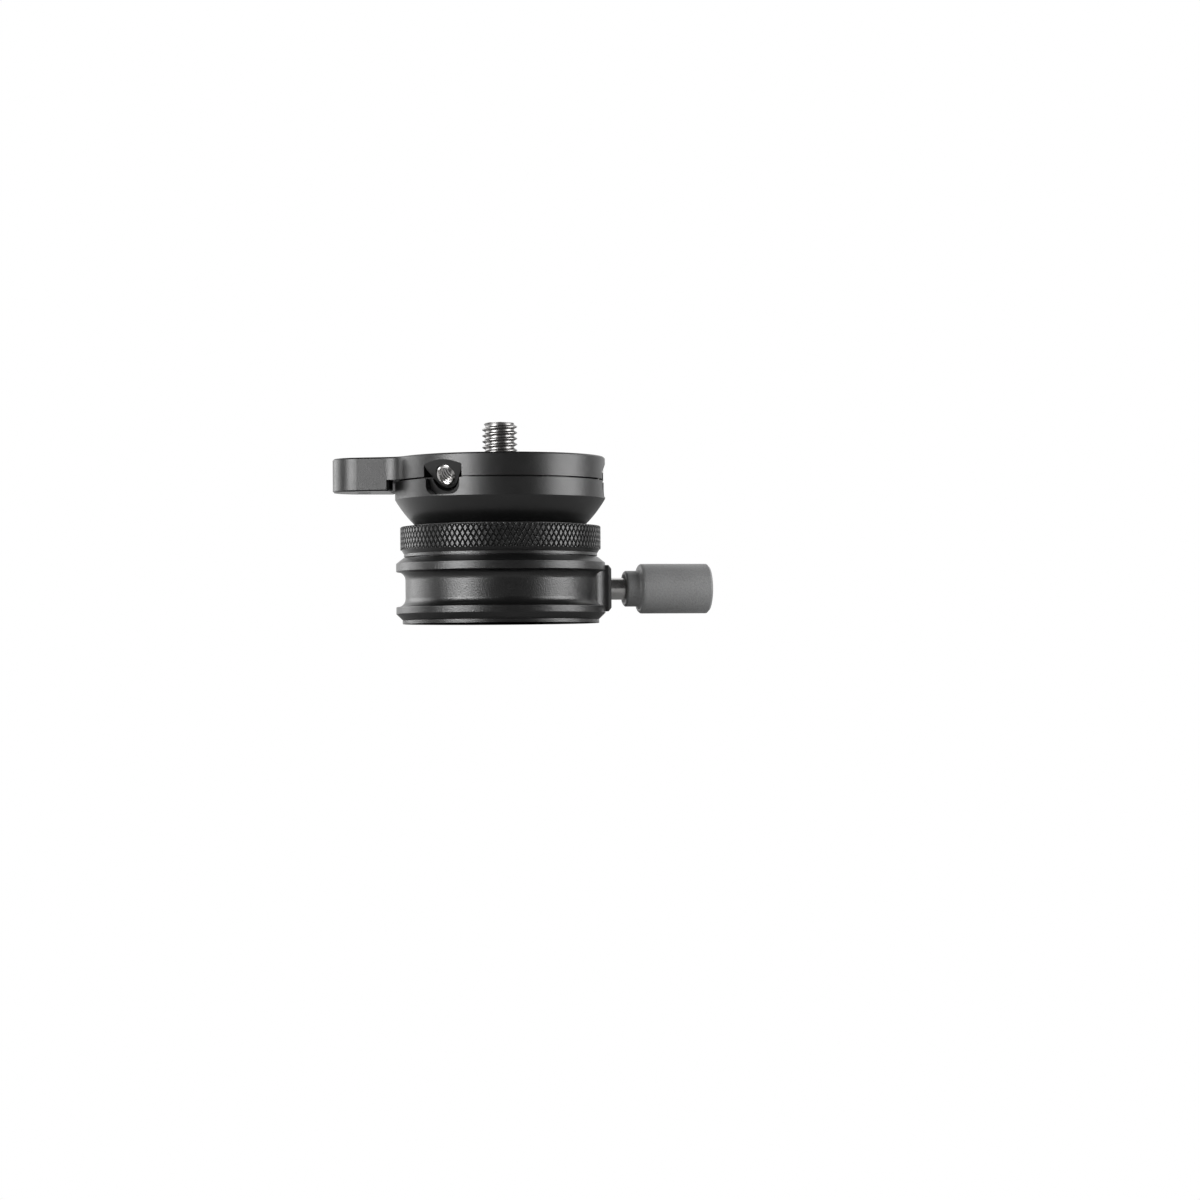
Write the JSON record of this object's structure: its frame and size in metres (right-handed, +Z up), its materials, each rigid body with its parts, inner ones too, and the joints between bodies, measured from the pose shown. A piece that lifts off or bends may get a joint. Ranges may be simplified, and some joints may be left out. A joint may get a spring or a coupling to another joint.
{
  "type": "tripod leveling head",
  "caption": "Compact leveling head: a ball-seated platform with a knurled lock ring over a panning base, with a side lock knob, bubble level lug and central stud.",
  "frame": {"origin": "centre of the tripod thread's mouth, in the base's bottom face", "axes": "+Z up along the pan axis, towards the head stud; +X along the pan lock's knob; the level's lug points to 166.5 degrees from +X, anticlockwise from above"},
  "size_m": [0.1023, 0.057, 0.0544],
  "materials": {
    "black_anodised": "satin black anodised",
    "grey_anodised": "fine blasted, dark grey anodised",
    "plain_aluminium": "turned, uncoated",
    "bright_steel": "bright nickel",
    "black_steel": "black oxide",
    "spring_steel": "oiled",
    "brass": "turned",
    "nylon": "matt",
    "seat_acetal": "matt black",
    "vial_acrylic": "clear and polished",
    "vial_fluid": "clear green fluid",
    "vial_air": "clear",
    "vial_white": "gloss white",
    "target_black": "printed black"
  },
  "bodies": {
    "pan_base": {"base_plate": "black_anodised", "base_screws": "black_steel", "tripod_bush": "brass", "spindle": "plain_aluminium", "pan_washer": "nylon"},
    "body": {"housing": "black_anodised", "pan_retainer": "plain_aluminium", "pan_retainer_screws": "black_steel", "centre_bolt": "black_steel"},
    "pan_brake": {"brake_shoe": "nylon"},
    "pan_knob": {"knob_screw": "bright_steel", "lock_knob": "grey_anodised"},
    "ball_seat": {"seat_ring": "seat_acetal"},
    "ball_lock": {"lock_ring": "black_anodised"},
    "ball_cap": {"hold_down_cap": "plain_aluminium", "thrust_washer": "spring_steel", "disc_springs": "spring_steel"},
    "ball_liner": {"friction_liner": "nylon"},
    "platform": {"dome_bowl": "black_anodised", "top_plate": "black_anodised", "plate_screws": "black_steel", "head_stud": "bright_steel", "stud_keeper": "plain_aluminium", "stud_keeper_screws": "black_steel", "vial_base": "vial_white", "vial_lens": "vial_acrylic", "vial_liquid": "vial_fluid", "air_bubble": "vial_air", "target_ring": "target_black"},
    "set_screw_front": {"anti_twist_screw_front": "bright_steel"},
    "set_screw_side": {"anti_twist_screw_side": "bright_steel"},
    "set_screw_rear": {"anti_twist_screw_rear": "bright_steel"}
  },
  "joints": [
    {"name": "pan_turn", "type": "hinge", "parent": "pan_base", "child": "body", "pos_m": [0, 0, 0], "axis": [0, 0, 1], "continuous": true},
    {"name": "pan_brake_slide", "type": "slide", "parent": "body", "child": "pan_brake", "axis": [1, 0, 0], "range_m": [0, 0.001]},
    {"name": "pan_knob_turn", "type": "hinge", "parent": "pan_brake", "child": "pan_knob", "pos_m": [0.04, 0, 0.00935], "axis": [1, 0, 0], "range_deg": [0, 360]},
    {"name": "ball_seat_slide", "type": "slide", "parent": "body", "child": "ball_seat", "axis": [0, 0, 1], "range_m": [-0.00025, 0]},
    {"name": "lock_ring_turn", "type": "hinge", "parent": "ball_seat", "child": "ball_lock", "pos_m": [0, 0, 0.023], "axis": [0, 0, 1], "range_deg": [-90, 0]},
    {"name": "ball_azimuth", "type": "hinge", "parent": "body", "child": "ball_cap", "pos_m": [0, 0, 0.05026], "axis": [0, 0, 1], "continuous": true},
    {"name": "ball_tilt", "type": "hinge", "parent": "ball_cap", "child": "ball_liner", "pos_m": [0, 0, 0.05026], "axis": [0, 1, 0], "range_deg": [-15, 15]},
    {"name": "platform_swivel", "type": "hinge", "parent": "ball_liner", "child": "platform", "pos_m": [0, 0, 0.05026], "axis": [0, 0, 1], "continuous": true},
    {"name": "anti_twist_front", "type": "slide", "parent": "platform", "child": "set_screw_front", "axis": [0.6187, 0.652, 0.4384], "range_m": [-0.0005, 0.0025]},
    {"name": "anti_twist_side", "type": "slide", "parent": "platform", "child": "set_screw_side", "axis": [-0.874, 0.2098, 0.4384], "range_m": [-0.0005, 0.0025]},
    {"name": "anti_twist_rear", "type": "slide", "parent": "platform", "child": "set_screw_rear", "axis": [0.2553, -0.8618, 0.4384], "range_m": [-0.0005, 0.0025]}
  ],
  "couplings": [
    {"joint": "pan_brake_slide", "follows": "pan_knob_turn", "m_per_rad": 0.00015915},
    {"joint": "ball_seat_slide", "follows": "lock_ring_turn", "m_per_rad": 0.00015915}
  ]
}
